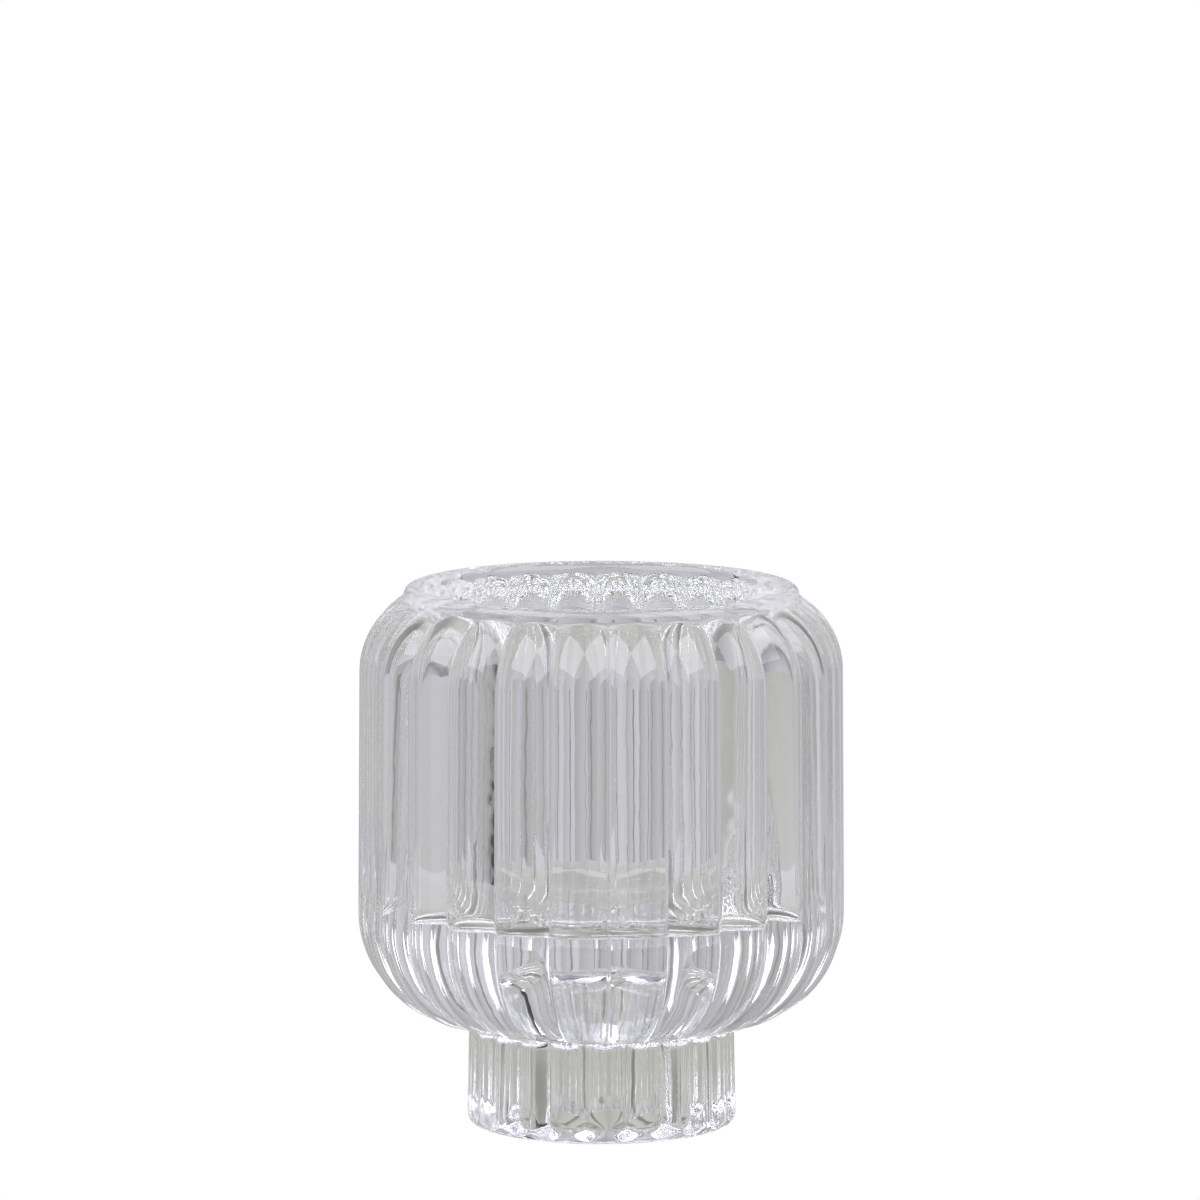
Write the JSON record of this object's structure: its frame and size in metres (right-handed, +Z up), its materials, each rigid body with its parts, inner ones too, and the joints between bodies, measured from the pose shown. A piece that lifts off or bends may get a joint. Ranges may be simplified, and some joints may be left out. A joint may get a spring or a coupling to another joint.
{
  "type": "tealight holder",
  "caption": "Clear ribbed glass candle holder on a short foot: a round bowl for a tealight and, turned over, a socket for a taper candle.",
  "frame": {"origin": "centre of the base of the foot, on the surface that the holder stands on", "axes": "+Z up along the axis of the bowl, -Y towards the front, +X to the right"},
  "size_m": [0.07, 0.0698, 0.078],
  "materials": {
    "glass": "clear pressed glass, fire-polished"
  },
  "bodies": {
    "root": {"holder": "glass"}
  },
  "joints": []
}
